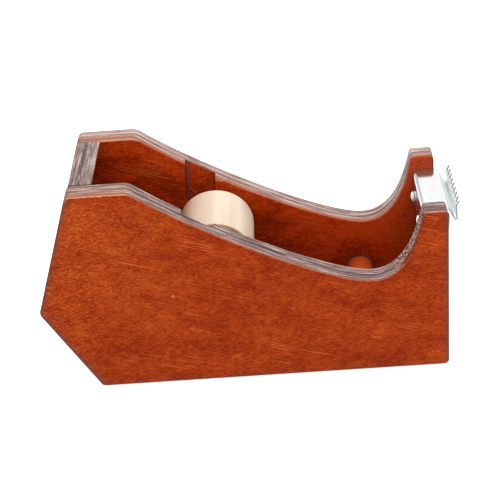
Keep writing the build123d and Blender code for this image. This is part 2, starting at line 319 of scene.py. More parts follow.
ragged = calc(plywood, "SUBTRACT", noise(plywood, local, 1100.0, 3.0), 0.5)
on_face = spread(plywood, calc(plywood, "MULTIPLY_ADD", ragged, 0.5, given.outputs["Facing"]), 0.55, 0.85)
shown = blend(plywood, on_face, edge_colour, face_colour)
shown = blend(plywood, given.outputs["Soil"], shown, paint(soil_and_shade_grey))
torn = blend(plywood, spread(plywood, dashes, 0.4, 0.6), paint(peach_wood), paint(rim_salmon))
shown = blend(plywood, given.outputs["Chip"], shown, torn)
plywood.links.new(shown, results.inputs["Color"])
polish = calc(
    plywood, "SUBTRACT", spread(plywood, blotches, 0.3, 0.7, -0.06, 0.06), bare_roughness - face_roughness
)
polish = calc(plywood, "MULTIPLY", on_face, polish)
plywood.links.new(calc(plywood, "ADD", polish, bare_roughness), results.inputs["Roughness"])
face_height = calc(plywood, "MULTIPLY_ADD", dashes, 0.6, calc(plywood, "MULTIPLY", fibres, 0.4))
edge_height = calc(plywood, "MULTIPLY", streaks, 1.2)
edge_height = calc(plywood, "SUBTRACT", edge_height, calc(plywood, "MULTIPLY", glue, 0.4))
height = add(
    plywood, "ShaderNodeMix", {0: on_face, 2: edge_height, 3: face_height}, data_type="FLOAT"
).outputs[0]
height = calc(plywood, "SUBTRACT", height, calc(plywood, "MULTIPLY", given.outputs["Chip"], 1.5))
plywood.links.new(height, results.inputs["Height"])


def dress(node, material):
    """Gives a CAD node its finish."""
    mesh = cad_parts[node].data
    mesh.materials.clear()
    mesh.materials.append(material)


def blank_material(name):
    """New material with an empty node tree, and that tree's Texture Coordinate node."""
    material = bpy.data.materials.new(name)
    material.use_nodes = True
    material.node_tree.nodes.clear()
    return material, material.node_tree, add(material.node_tree, "ShaderNodeTexCoord")


def board_normal(node):
    """Outward direction of a cross board's broad faces."""
    normal = max(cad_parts[node].data.polygons, key=lambda p: p.area).normal.copy()
    low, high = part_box(node)
    middle = (cad_box[0] + cad_box[1]) / 2
    return normal if normal.dot((low + high) / 2 - middle) > 0 else -normal


def shade_board(tree, board):
    """Surface of a board from its Plywood group node."""
    bump = add(
        tree, "ShaderNodeBump", {"Strength": 0.3, "Distance": 0.0001, "Height": board.outputs["Height"]}
    )
    shader = add(
        tree, "ShaderNodeBsdfPrincipled",
        {"Base Color": board.outputs["Color"], "Roughness": board.outputs["Roughness"],
         "Normal": bump.outputs[0], "Specular IOR Level": face_specular},
    )
    add(tree, "ShaderNodeOutputMaterial", {"Surface": shader.outputs[0]})


# Painted shade greying the arrises: outward direction, width of the dark band and its strength
painted_edge_shade = (
    (board_normal("rear_panel"), 0.0014, 0.75),
    (board_normal("lower_rear_panel"), 0.0019, 0.92),
    (Vector((0, 0, -1)), 0.0012, 0.5),
    (Vector((1, 0, 0)), 0.0013, 0.95),
)
brow_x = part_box("rear_panel")[1].x + 0.012
back_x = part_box("rear_panel")[1].x
throat_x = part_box("spacer_dowel")[1].x
post_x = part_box("front_panel")[0].x - 0.003
dowel_low, dowel_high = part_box("spacer_dowel")
dowel_axis = (dowel_low + dowel_high) / 2
dowel_radius = (dowel_high.z - dowel_low.z) / 2


def below_top(tree, node, axes):
    """Height of the board's top outline above each point."""
    low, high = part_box(node)
    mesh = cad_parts[node].data
    spots = [v.co for v in mesh.vertices]
    edges = [(spots[e.vertices[0]], spots[e.vertices[1]]) for e in mesh.edges]
    along = calc(tree, "DIVIDE", calc(tree, "SUBTRACT", axes[0], low.x), high.x - low.x)
    curve_node = add(tree, "ShaderNodeFloatCurve", {"Value": along})
    curve = curve_node.mapping.curves[0]
    count = 40
    for i in range(count + 1):
        share = i / count
        x = low.x + (high.x - low.x) * min(max(share, 0.001), 0.999)
        crossing = [
            a.z + (b.z - a.z) * (x - a.x) / (b.x - a.x) for a, b in edges if (a.x - x) * (b.x - x) < 0
        ]
        level = max(crossing) / high.z
        if i in (0, count):
            curve.points[-1 if i else 0].location = (share, level)
        else:
            curve.points.new(share, level)
    curve_node.mapping.update()
    return calc(tree, "SUBTRACT", calc(tree, "MULTIPLY", curve_node.outputs[0], high.z), axes[2])


def side_board(node, seed, bled_face, bleed, veneer, core, damage):
    """Material of one side board.

    bled_face is the face, 0 inner or 1 outer, whose stain bled onto the cut edge, and bleed is the
    share of the board's thickness that it reached; damage gives the mask of torn or nicked wood.
    """
    low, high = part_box(node)
    inner = min(abs(low.y), abs(high.y))
    thickness = high.y - low.y
    material, tree, place = blank_material(f"{node} plywood")
    spot = place.outputs["Object"]
    axes = add(tree, "ShaderNodeSeparateXYZ", {0: spot}).outputs
    local = add(tree, "ShaderNodeCombineXYZ", {0: axes[0], 1: axes[2], 2: axes[1]}).outputs[0]
    local = stretched(tree, local, (1.0, 1.0, 1.0), seed)
    through = calc(tree, "DIVIDE", calc(tree, "SUBTRACT", calc(tree, "ABSOLUTE", axes[1]), inner), thickness)
    facing = calc(tree, "ABSOLUTE", dot(tree, place.outputs["Normal"], (0, 1, 0)))
    outward = dot(tree, place.outputs["Normal"], (1, 0, 0))

    from_dowel = distance(
        tree, calc(tree, "SUBTRACT", axes[0], dowel_axis.x), calc(tree, "SUBTRACT", axes[2], dowel_axis.z)
    )

    # Darker low down and towards the front, and just under the top edge. On the inner faces painted
    # shade deepens and reddens the colour, most by the back, beside the roller and round the dowel, and
    # painted light lifts and reddens it below the top edge and in the throat
    low_down = fade(tree, axes[2], low.z, high.z * 0.8)
    low_down = product(tree, low_down, fade(tree, axes[0], low.x, high.x, 0.2))
    forward = spread(tree, axes[0], low.x, low.x * 0.1)
    inside = fade(tree, through, 0.5, 0.7)
    rear_painted_shade = fade(tree, axes[0], back_x + 0.004, back_x + 0.034)
    throat_painted_light = spread(tree, axes[0], throat_x - 0.028, throat_x + 0.012)
    throat_painted_light = product(tree, throat_painted_light, fade(tree, axes[0], post_x + 0.002, post_x + 0.005, 0.35))
    from_top = below_top(tree, node, axes)
    under_top = fade(tree, from_top, 0.0006, 0.0045)
    tone = calc(tree, "MULTIPLY_ADD", low_down, 0.3, calc(tree, "MULTIPLY", forward, 0.4))
    tone = calc(tree, "ADD", calc(tree, "MULTIPLY_ADD", under_top, 0.3, tone), 0.08)
    painted_light_top = fade(tree, from_top, 0.002, 0.010)
    painted_light_top = product(tree, painted_light_top, fade(tree, axes[0], back_x + 0.026, back_x + 0.060, 0.65))
    roller_painted_shadow = calc(tree, "ABSOLUTE", calc(tree, "SUBTRACT", axes[0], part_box("tape_roller")[1].x + 0.003))
    roller_painted_shadow = fade(tree, roller_painted_shadow, 0.003, 0.011)
    dowel_painted_shade = fade(tree, from_dowel, dowel_radius, dowel_radius + 0.011)
    inner_painted_shading = calc(tree, "MULTIPLY_ADD", rear_painted_shade, 0.4, calc(tree, "MULTIPLY_ADD", throat_painted_light, -1.5, 0.34))
    inner_painted_shading = calc(tree, "MULTIPLY_ADD", painted_light_top, -1.15, inner_painted_shading)
    inner_painted_shading = calc(tree, "MULTIPLY_ADD", roller_painted_shadow, 0.2, inner_painted_shading)
    inner_painted_shading = calc(tree, "MULTIPLY_ADD", dowel_painted_shade, 1.1, inner_painted_shading)
    tone = calc(tree, "MULTIPLY_ADD", inside, inner_painted_shading, tone)
    shade_redness = product(tree, inside, calc(tree, "MULTIPLY_ADD", throat_painted_light, 0.4, 0.75))

    on_edge = fade(tree, facing, 0.3, 0.7)
    soil_and_shade = 0.0
    for direction, width, strength in painted_edge_shade:
        reach = max(v.co.dot(direction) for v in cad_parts[node].data.vertices)
        inward = calc(tree, "SUBTRACT", reach, dot(tree, spot, tuple(direction)))
        halo = product(tree, fade(tree, inward, 0.0, width * 3), 0.16)
        soil_and_shade = largest(tree, soil_and_shade, halo, product(tree, fade(tree, inward, width * 0.1, width), strength))
    soil_and_shade = product(tree, soil_and_shade, fade(tree, on_edge, 0.0, 1.0, 0.4))

    # Stain bled past one arris, broadest on the level parts, and a pale sanded arris at the rear
    from_arris = calc(tree, "ABSOLUTE", calc(tree, "SUBTRACT", through, bled_face))
    rearward = fade(tree, axes[0], brow_x - 0.002, brow_x + 0.002)
    post = spread(tree, axes[0], post_x, post_x + 0.001)
    level = largest(tree, rearward, post)
    rim = product(tree, fade(tree, from_arris, 0.04, bleed), 0.85)
    rim = largest(tree, rim, product(tree, level, fade(tree, from_arris, 0.05, 0.6), 0.42))
    rim = largest(tree, rim, product(tree, rearward, fade(tree, from_arris, bleed * 0.7, bleed), 0.8))
    warm_plies = product(
        tree, spread(tree, from_arris, bleed * 0.8, bleed * 1.2), fade(tree, from_arris, 0.5, 0.85), 0.2
    )
    peach = product(tree, rearward, largest(tree, fade(tree, from_arris, 0.02, 0.05), warm_plies), 0.9)
    spill = product(tree, post, fade(tree, from_arris, 0.10, 0.18), 0.95)
    bare_line = product(tree, rearward, fade(tree, from_arris, 0.05, 0.08))
    held_back = product(tree, rearward, 0.3 * bled_face)
    ragged_spill = product(
        tree, fade(tree, from_arris, 0.02, bleed * 0.9), calc(tree, "SUBTRACT", 0.66, held_back),
        calc(tree, "SUBTRACT", 1.0, bare_line),
    )
    sanded = product(
        tree, rearward, fade(tree, from_top, 0.0003, 0.0006), fade(tree, from_arris, 0.01, 0.03),
        1 - 0.75 * bled_face,
    )
    facing = product(tree, largest(tree, facing, spill, ragged_spill), calc(tree, "SUBTRACT", 1.0, sanded))

    # End grain shows where the throat rises and on the front ends
    riser = product(
        tree, spread(tree, axes[0], throat_x - 0.002, throat_x + 0.009),
        spread(tree, calc(tree, "ABSOLUTE", outward), 0.36, 0.85), spread(tree, outward, -0.5, 0.5, 1.0, 0.5),
    )
    veneer_colour = paint(veneer)
    if bled_face == 1:
        rim = largest(tree, rim, product(tree, riser, 0.7))
        facing = largest(tree, facing, product(tree, riser, fade(tree, from_arris, 0.1, 0.8), 0.9))
    else:
        paler = largest(tree, product(tree, riser, 0.9), product(tree, rearward, 0.45))
        veneer_colour = blend(tree, paler, veneer_colour, paint(white_fleck))
        riser = product(tree, riser, spread(tree, outward, -0.5, 0.5, 0.2, 1.0))
        outer_plies = product(tree, on_edge, spread(tree, through, 0.70, 0.9))
        soil_and_shade = largest(tree, soil_and_shade, product(tree, outer_plies, fade(tree, axes[0], throat_x, post_x), 0.5))
        soil_and_shade = largest(tree, soil_and_shade, product(tree, inside, post, 0.2))

    # A painted shadow rings the blind hole of the spacer dowel. The slot's walls took the stain and are
    # darkened further as painted shade, and painted shadow with glue lines runs down the rear of its floor
    ring = product(tree, fade(tree, from_dowel, dowel_radius + 0.0003, dowel_radius + 0.0010), inside, 0.6)
    shadow_and_glue_strip, slot_wall_stain_shade = slot_shadow_and_stain(tree, axes, through, from_top)
    soil_and_shade = largest(tree, soil_and_shade, ring, shadow_and_glue_strip)
    facing = largest(tree, facing, slot_wall_stain_shade)
    tone = calc(tree, "MULTIPLY_ADD", slot_wall_stain_shade, 0.6, tone)
    chip = damage(tree, axes, through)
    board = add(
        tree, "ShaderNodeGroup",
        {"Vector": local, "Across": through, "Facing": facing, "Tone": tone, "Soil": soil_and_shade, "Chip": chip,
         "Speckle": riser, "Rim": rim, "Peach": peach, "Redness": shade_redness,
         "Veneer": veneer_colour, "Core": paint(core)},
        node_tree=plywood,
    )
    shade_board(tree, board)
    return material


axle_low, axle_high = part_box("roller_axle")
axle_x = (axle_low.x + axle_high.x) / 2
axle_z = (axle_low.z + axle_high.z) / 2
slot_front_x = axle_x + 0.0007
slot_rear_x = axle_x - 0.0092
slot_top = 0.0171
slot_slope = math.tan(math.radians(4.5))
slot_stain_width = 0.0024
tear_length = 0.0027
tear_height = 0.0140
nick_along = 0.318
nick_up = 0.47
nick_radius = 0.0009


def torn_veneer(tree, axes, through):
    """Far side: veneer torn off ahead of the slot's mouth, and splinters on the slot's floor."""
    ahead = calc(tree, "SUBTRACT", axes[0], slot_front_x)
    above = calc(tree, "SUBTRACT", axes[2], axle_z)
    in_reach = product(
        tree, spread(tree, ahead, -0.0002, 0.0001), fade(tree, ahead, tear_length * 0.9, tear_length)
    )
    up = calc(tree, "SUBTRACT", above, calc(tree, "MULTIPLY_ADD", ahead, -0.30, tear_height))
    bright_lip = fade(tree, calc(tree, "ABSOLUTE", calc(tree, "SUBTRACT", up, 0.0002)), 0.0002, 0.0004)
    body = product(tree, spread(tree, up, 0.0, 0.0003), 0.45)
    chip = product(tree, in_reach, largest(tree, bright_lip, body), fade(tree, through, 0.02, 0.06))
    flat = add(tree, "ShaderNodeCombineXYZ", {0: axes[0], 1: axes[2]}).outputs[0]
    splinters = spread(tree, noise(tree, flat, 900.0, 2.0, 0.6, 1.5), 0.58, 0.64)
    by_front = product(tree, spread(tree, ahead, -0.0042, -0.0028), fade(tree, ahead, -0.0006, -0.0002))
    low_part = product(tree, spread(tree, above, 0.0071, 0.0086), fade(tree, above, 0.0126, 0.0136))
    on_floor = product(tree, spread(tree, through, 0.36, 0.40), fade(tree, through, 0.46, 0.50))
    return largest(tree, chip, product(tree, splinters, by_front, low_part, on_floor, 0.45))


def slot_shadow_and_stain(tree, axes, through, from_top):
    """Masks of painted shadow with dark glue lines down the rear of the slot's floor, and of the slot's
    stained walls.
    """
    above = calc(tree, "SUBTRACT", axes[2], axle_z)
    lean = calc(tree, "MULTIPLY_ADD", above, slot_slope, slot_rear_x - slot_top * slot_slope)
    rear = calc(tree, "SUBTRACT", axes[0], lean)
    beside = product(
        tree, spread(tree, rear, -0.0008, -0.0004), fade(tree, rear, 0.0115, 0.0120),
        spread(tree, above, -0.0069, -0.0049),
    )
    recessed = product(tree, beside, fade(tree, through, 0.44, 0.48))
    in_wall = product(tree, spread(tree, through, 0.01, 0.03), fade(tree, through, 0.38, 0.41))
    wall = product(tree, beside, in_wall, spread(tree, from_top, 0.0004, 0.0009))
    upright = add(
        tree, "ShaderNodeCombineXYZ", {0: axes[0], 2: calc(tree, "MULTIPLY", axes[2], 0.12)}
    ).outputs[0]
    stripes = spread(tree, noise(tree, upright, 1500.0, 2.0, 0.6), 0.38, 0.56, 0.15, 1.0)
    fading = spread(tree, above, 0.0041, 0.0141, 0.15, 0.65)
    strip = product(
        tree, fade(tree, rear, slot_stain_width * 0.7, slot_stain_width), spread(tree, through, 0.38, 0.41),
        stripes, fading,
    )
    return product(tree, recessed, strip), wall


def small_nick(tree, axes, through):
    """Near side: a pinhead nick in the outer face, a third of the way along."""
    x = calc(tree, "SUBTRACT", axes[0], cad_box[0].x + nick_along * (cad_box[1].x - cad_box[0].x))
    z = calc(tree, "SUBTRACT", axes[2], cad_box[0].z + nick_up * (cad_box[1].z - cad_box[0].z))
    grit = noise(tree, add(tree, "ShaderNodeCombineXYZ", {0: x, 1: z}).outputs[0], 2600.0, 1.0)
    return product(
        tree, fade(tree, distance(tree, x, z), nick_radius - 0.0005, nick_radius),
        spread(tree, grit, 0.48, 0.56), spread(tree, through, 0.9, 0.95),
    )


near_plywood = side_board("near_side_panel", (0.0, 0.0, 0.0), 1, 0.2, near_veneer, near_core, small_nick)
dress("near_side_panel", near_plywood)
far_plywood = side_board("far_side_panel", (0.318, 0.17, 0.05), 0, 0.42, far_veneer, far_core, torn_veneer)
dress("far_side_panel", far_plywood)


# ==== Cross boards ====
# Four plywood boards glued between the sides: a leaning back, an undercut lower back, the floor,
# and the upright front that carries the cutter. Only the back's sanded top edge is easily seen.

ply_shift = 0.13
back_veneer = "8A736E"
back_core = "5A4F50"


def cross_board(node, seed):
    """Material of a board whose plies are stacked along its broad faces' normal."""
    across = board_normal(node)
    run = across.cross(Vector((0, 1, 0)))
    reach = [v.co.dot(across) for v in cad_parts[node].data.vertices]
    low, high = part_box(node)
    material, tree, place = blank_material(f"{node} plywood")
    spot = place.outputs["Object"]
    axes = {i: dot(tree, spot, tuple(d)) for i, d in enumerate((Vector((0, 1, 0)), run, across))}
    local = stretched(tree, add(tree, "ShaderNodeCombineXYZ", axes).outputs[0], (1.0, 1.0, 1.0), seed)
    through = calc(tree, "DIVIDE", calc(tree, "SUBTRACT", axes[2], min(reach)), max(reach) - min(reach))
    shifted = calc(tree, "SUBTRACT", through, ply_shift)
    facing = calc(tree, "ABSOLUTE", dot(tree, place.outputs["Normal"], tuple(across)))
    from_end = calc(tree, "SUBTRACT", high.y, calc(tree, "ABSOLUTE", axes[0]))
    # The face towards the bay is made deeper and redder as painted shade
    bay_face_shade = fade(tree, through, 0.4, 0.6)
    board = add(
        tree, "ShaderNodeGroup",
        {"Vector": local, "Across": shifted, "Facing": facing,
         "Tone": spread(tree, bay_face_shade, 0.0, 1.0, 0.4, 1.0), "Redness": product(tree, bay_face_shade, 0.4),
         "Soil": fade(tree, from_end, 0.0001, 0.0006), "Speckle": 0.12, "Streaking": 0.65,
         "Veneer": paint(back_veneer), "Core": paint(back_core)},
        node_tree=plywood,
    )
    shade_board(tree, board)
    return material


cross_seeds = {
    "rear_panel": (0.11, 0.23, 0.07),
    "lower_rear_panel": (0.05, 0.41, 0.13),
    "floor_panel": (0.27, 0.09, 0.02),
    "front_panel": (0.19, 0.33, 0.11),
}
for node, seed in cross_seeds.items():
    dress(node, cross_board(node, seed))


# ==== Hidden dowel pins ====
# Short bare beech pins, glued blind into the boards' ends and the sides. Nothing of them shows
# once the cradle is glued up.

pin_pale = "D8BE95"
pin_dark = "A98658"


# Turned wood: Vector is in metres with the grain along Y, and Normal is the surface's own normal.
# Streak is the width of the bands in metres and Contrast is their strength. The last colour and
# number give the colour and strength of painted shade on the side facing -X.
turned_grain, given, results = new_group(
    "Turned wood",
    [("Vector", VECTOR, ORIGIN), ("Normal", VECTOR, ORIGIN), ("Light", COLOUR, paint(pin_pale)),
     ("Dark", COLOUR, paint(pin_dark)), ("Streak", NUMBER, 0.001), ("Contrast", NUMBER, 0.5),
     ("Roughness", NUMBER, 0.5), ("Shade colour", COLOUR, paint(pin_dark)), ("Painted shade", NUMBER, 0.0)],
    [("Color", COLOUR), ("Roughness", NUMBER), ("Height", NUMBER)],
)
local = given.outputs["Vector"]
contrast = given.outputs["Contrast"]
dark_wood = given.outputs["Dark"]
band_scale = calc(turned_grain, "DIVIDE", 1.0, given.outputs["Streak"])
fine_scale = calc(turned_grain, "DIVIDE", 6.0, given.outputs["Streak"])
bands = noise(turned_grain, stretched(turned_grain, local, (1.0, 0.03, 1.0)), band_scale, 2.0, 0.5)
fine = noise(turned_grain, stretched(turned_grain, local, (1.0, 0.06, 1.0)), fine_scale, 2.0, 0.6)
cloud = noise(turned_grain, stretched(turned_grain, local, (1.0, 0.5, 1.0)), 120.0, 2.0)
end = calc(turned_grain, "ABSOLUTE", dot(turned_grain, given.outputs["Normal"], (0, 1, 0)))
end = spread(turned_grain, end, 0.35, 0.9)
band_mask = spread(turned_grain, bands, 0.40, 0.62, 0.0, contrast)
fine_mask = spread(turned_grain, fine, 0.45, 0.75, 0.0, product(turned_grain, contrast, 0.3))
cloud_mask = spread(turned_grain, cloud, 0.45, 0.7, 0.0, product(turned_grain, contrast, 0.4))
shade_side = dot(turned_grain, given.outputs["Normal"], (-1, 0, 0))
painted_shade_mask = spread(turned_grain, shade_side, 0.3, 0.95, 0.0, given.outputs["Painted shade"])
wood_colour = blend(turned_grain, band_mask, given.outputs["Light"], dark_wood)
wood_colour = blend(turned_grain, fine_mask, wood_colour, dark_wood)
wood_colour = blend(turned_grain, cloud_mask, wood_colour, dark_wood)
wood_colour = blend(turned_grain, painted_shade_mask, wood_colour, given.outputs["Shade colour"])
wood_colour = blend(turned_grain, calc(turned_grain, "MULTIPLY", end, 0.85), wood_colour, dark_wood)
roughest = calc(turned_grain, "ADD", given.outputs["Roughness"], 0.12)
wood_rough = spread(turned_grain, bands, 0.3, 0.7, given.outputs["Roughness"], roughest)
turned_grain.links.new(wood_colour, results.inputs["Color"])
turned_grain.links.new(wood_rough, results.inputs["Roughness"])
turned_grain.links.new(fine, results.inputs["Height"])


def turned_wood(name, light, dark, streak, contrast, roughness, shade_colour=pin_dark, shade_strength=0.0):
    """Material of a round wooden piece with its grain along Y."""
    material, tree, place = blank_material(name)
    wood = add(
        tree, "ShaderNodeGroup",
        {"Vector": place.outputs["Object"], "Normal": place.outputs["Normal"], "Light": paint(light),
         "Dark": paint(dark), "Streak": streak, "Contrast": contrast, "Roughness": roughness,
         "Shade colour": paint(shade_colour), "Painted shade": shade_strength},
        node_tree=turned_grain,
    )
    bump = add(
        tree, "ShaderNodeBump", {"Strength": 0.2, "Distance": 0.00006, "Height": wood.outputs["Height"]}
    )
    shader = add(
        tree, "ShaderNodeBsdfPrincipled",
        {"Base Color": wood.outputs["Color"], "Roughness": wood.outputs["Roughness"],
         "Normal": bump.outputs[0], "Specular IOR Level": 0.25},
    )
    add(tree, "ShaderNodeOutputMaterial", {"Surface": shader.outputs[0]})
    return material


bare_beech = turned_wood("Bare beech pin", pin_pale, pin_dark, 0.0006, 0.6, 0.6)
for board in cross_seeds:
    dress(f"{board}_pins", bare_beech)


# ==== Spacer dowel ====
# A beech dowel across the throat, stained with the boards. Its ends sit in blind holes in both
# sides, and it ties the thin front of the cradle together.

dowel_orange = "AB4009"
dowel_deep = "8A3309"
dress("spacer_dowel", turned_wood("Stained dowel", dowel_orange, dowel_deep, 0.0010, 0.4, 0.5))


# ==== Axle and its collars ====
# A bright steel rod that drops into the two slots, with a nylon collar pushed on at each end to
# keep the roller in the middle of the gap.

steel_grey = "B4B6B8"
nylon_white = "E4E1D4"
cloud_grey = "A9AFB1"
mark_grey = "8D9496"
skin_grey = "7C7870"
mark_depth = 0.000001


# Metal marks: Vector is in metres, Direction stretches the marks along one axis, and Brushing is
# how much they roughen the surface.
metal_marks, given, results = new_group(
    "Metal marks",
    [("Vector", VECTOR, ORIGIN), ("Direction", VECTOR, (1.0, 1.0, 1.0)),
     ("Color", COLOUR, paint(steel_grey)), ("Roughness", NUMBER, 0.2), ("Brushing", NUMBER, 0.1)],
    [("Color", COLOUR), ("Roughness", NUMBER), ("Height", NUMBER)],
)
local = given.outputs["Vector"]
marks = noise(metal_marks, stretched(metal_marks, local, given.outputs["Direction"]), 3000.0, 3.0, 0.6)
cloud = noise(metal_marks, local, 160.0, 3.0, 0.6)
cloud_mask = spread(metal_marks, cloud, 0.4, 0.75, 0.0, 0.2)
mark_mask = spread(metal_marks, marks, 0.5, 0.75, 0.0, 0.2)
metal_colour = blend(metal_marks, cloud_mask, given.outputs["Color"], paint(cloud_grey))
metal_colour = blend(metal_marks, mark_mask, metal_colour, paint(mark_grey))
roughest = calc(metal_marks, "ADD", given.outputs["Roughness"], given.outputs["Brushing"])
metal_rough = spread(metal_marks, marks, 0.3, 0.7, given.outputs["Roughness"], roughest)
metal_rough = calc(metal_marks, "ADD", metal_rough, spread(metal_marks, cloud, 0.4, 0.7, 0.0, 0.04))
metal_marks.links.new(metal_colour, results.inputs["Color"])
metal_marks.links.new(metal_rough, results.inputs["Roughness"])
metal_marks.links.new(calc(metal_marks, "MULTIPLY", marks, mark_depth), results.inputs["Height"])

# Moulded skin: Vector is in metres, and Grain is the size in metres of the skin's unevenness.
moulded_skin, given, results = new_group(
    "Moulded skin",
    [("Vector", VECTOR, ORIGIN), ("Grain", NUMBER, 0.0006), ("Color", COLOUR, paint(nylon_white)),
     ("Roughness", NUMBER, 0.5)],
    [("Color", COLOUR), ("Roughness", NUMBER), ("Height", NUMBER)],
)
skin_scale = calc(moulded_skin, "DIVIDE", 1.0, given.outputs["Grain"])
skin = noise(moulded_skin, given.outputs["Vector"], skin_scale, 3.0, 0.6)
skin_mask = spread(moulded_skin, skin, 0.3, 0.7, 0.0, 0.2)
roughest = calc(moulded_skin, "ADD", given.outputs["Roughness"], 0.12)
skin_rough = spread(moulded_skin, skin, 0.3, 0.7, given.outputs["Roughness"], roughest)
skin_colour = blend(moulded_skin, skin_mask, given.outputs["Color"], paint(skin_grey))
moulded_skin.links.new(skin_colour, results.inputs["Color"])
moulded_skin.links.new(skin_rough, results.inputs["Roughness"])
moulded_skin.links.new(skin, results.inputs["Height"])


def metal(name, code, roughness, brushing, direction, metallic=1.0, parts=(), bow=0.0):
    """Bare or plated metal with fine marks along one direction.

    parts lists functions that each give a mask, its colour, how much rougher it is there and how
    far the metal is veiled; bow dishes a flat of it along Y.
    """
    material, tree, place = blank_material(name)
    marked = add(
        tree, "ShaderNodeGroup",
        {"Vector": place.outputs["Object"], "Direction": direction, "Color": paint(code),
         "Roughness": roughness, "Brushing": brushing},
        node_tree=metal_marks,
    )
    colour = marked.outputs["Color"]
    rough = marked.outputs["Roughness"]
    height = marked.outputs["Height"]
    shine = metallic
    for part in parts:
        mask, part_code, extra, veiled = part(tree, place)
        colour = blend(tree, mask, colour, paint(part_code))
        rough = calc(tree, "MULTIPLY_ADD", mask, extra, rough)
        shine = calc(tree, "SUBTRACT", shine, calc(tree, "MULTIPLY", mask, veiled), clamp=True)
    if bow:
        y = add(tree, "ShaderNodeSeparateXYZ", {0: place.outputs["Object"]}).outputs[1]
        height = calc(tree, "MULTIPLY_ADD", calc(tree, "MULTIPLY", y, y), bow, height)
    bump = add(tree, "ShaderNodeBump", {"Strength": 1.0, "Distance": 1.0, "Height": height})
    shader = add(
        tree, "ShaderNodeBsdfPrincipled",
        {"Base Color": colour, "Metallic": shine, "Roughness": rough, "Normal": bump.outputs[0]},
    )
    add(tree, "ShaderNodeOutputMaterial", {"Surface": shader.outputs[0]})
    return material


def moulded(name, code, roughness, grain_size):
    """Plain moulded plastic or rubber with a fine uneven skin."""
    material, tree, place = blank_material(name)
    skinned = add(
        tree, "ShaderNodeGroup",
        {"Vector": place.outputs["Object"], "Grain": grain_size, "Color": paint(code),
         "Roughness": roughness},
        node_tree=moulded_skin,
    )
    bump = add(
        tree, "ShaderNodeBump", {"Strength": 0.3, "Distance": 0.00006, "Height": skinned.outputs["Height"]}
    )
    shader = add(
        tree, "ShaderNodeBsdfPrincipled",
        {"Base Color": skinned.outputs["Color"], "Roughness": skinned.outputs["Roughness"],
         "Normal": bump.outputs[0]},
    )
    add(tree, "ShaderNodeOutputMaterial", {"Surface": shader.outputs[0]})
    return material


dress("roller_axle", metal("Bright steel rod", steel_grey, 0.22, 0.1, (1.0, 0.05, 1.0)))
nylon = moulded("Natural nylon", nylon_white, 0.42, 0.0006)
for node in ("near_axle_collar", "far_axle_collar"):
    dress(node, nylon)


# ==== Tape roller ====
# A roller turned from pale limewood, sanded smooth. It is bored for the axle and takes a tape
# core of 1 inch bore.

lime_cream = "C8B7A5"
lime_tan = "A07853"
roller_shade_brown = "A97044"
# The roller's side facing -X is darkened with a brown as painted shade
limewood = turned_wood("Pale limewood", lime_cream, lime_tan, 0.0055, 0.24, 0.45, roller_shade_brown, 0.75)
dress("tape_roller", limewood)


# ==== Cutter bracket ====
# Half-millimetre bright plated steel sheet, bent over the front board: a flange behind it, a flat
# plate on top, and a lip folded back on itself whose edge is punched into teeth.

plate_silver = "C9CBCA"
cut_grey = "697375"
lip_reflection_white = "FAFEFF"
plate_bow = 3.6
plate_overhang = 0.0017
lip_depth = 0.0019
bend_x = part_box("front_panel")[1].x + plate_overhang


def sheared_edges(tree, place):
    """The sheet's cut edges, which face along Y."""
    facing = calc(tree, "ABSOLUTE", dot(tree, place.outputs["Normal"], (0, 1, 0)))
    return product(tree, spread(tree, facing, 0.3, 0.7), 0.9), cut_grey, 0.25, 0.0


def painted_lip_reflection(tree, place):
    """The lip inside its fold and behind its teeth, painted near-white and less metallic: a painted
    reflection of the bright surround.
    """
    x = add(tree, "ShaderNodeSeparateXYZ", {0: place.outputs["Object"]}).outputs[0]
    lines = noise(tree, stretched(tree, place.outputs["Object"], (1.0, 0.02, 1.0)), 1500.0, 2.0)
    bent = spread(tree, x, bend_x - 0.0004, bend_x + 0.0002)
    facing_out = spread(tree, dot(tree, place.outputs["Normal"], (1, 0, 0)), 0.2, 0.6)
    front = product(tree, facing_out, spread(tree, x, bend_x + lip_depth, bend_x + lip_depth + 0.0002))
    inside_fold = calc(tree, "SUBTRACT", 1.0, front)
    return product(tree, bent, inside_fold, spread(tree, lines, 0.4, 0.6, 0.8, 1.0)), lip_reflection_white, 0.25, 0.6


def press_lines(tree, place):
    """Dark lines that the bending tool left along the folded lip."""
    x = add(tree, "ShaderNodeSeparateXYZ", {0: place.outputs["Object"]}).outputs[0]
    bent = spread(tree, x, bend_x - 0.0002, bend_x + 0.0002)
    lengthwise = stretched(tree, place.outputs["Object"], (1.0, 0.012, 1.0), (0.0, 0.0, 0.01))
    lines = noise(tree, lengthwise, 2300.0, 0.0)
    return product(tree, bent, spread(tree, lines, 0.55, 0.62), 0.45), cut_grey, 0.1, 0.0


bright_plate = metal(
    "Bright plated sheet", plate_silver, 0.11, 0.05, (1.0, 0.03, 1.0), 0.96,
    (painted_lip_reflection, press_lines, sheared_edges), plate_bow,
)
dress("cutter_bracket", bright_plate)


# ==== Cutter screws ====
# Two zinc-plated pan-head machine screws through the front board, threaded into the bracket's
# flange. The cross-recessed heads are on the front face and the tips stand out into the bay.

zinc = "F8F7F0"
head_grey = "A9ACAB"
thread_shade_dark = "262A28"
recess_dark = "3A3D3C"
thread_pitch = 0.0008
thread_depth = 0.00035
thread_steps = 28
rings_per_turn = 14
recess_half_length = 0.0017
recess_half_width = 0.00045
recess_depth = 0.0012
tip_length = 0.0008
head_dome = 0.0007
dome_steps = 6
screw_low, screw_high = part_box("cutter_screws")
head_radius = (screw_high.z - screw_low.z) / 2
head_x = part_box("front_panel")[1].x
shank_radius = 0.00175
screw_z = (screw_high.z + screw_low.z) / 2
screw_y = screw_high.y - head_radius


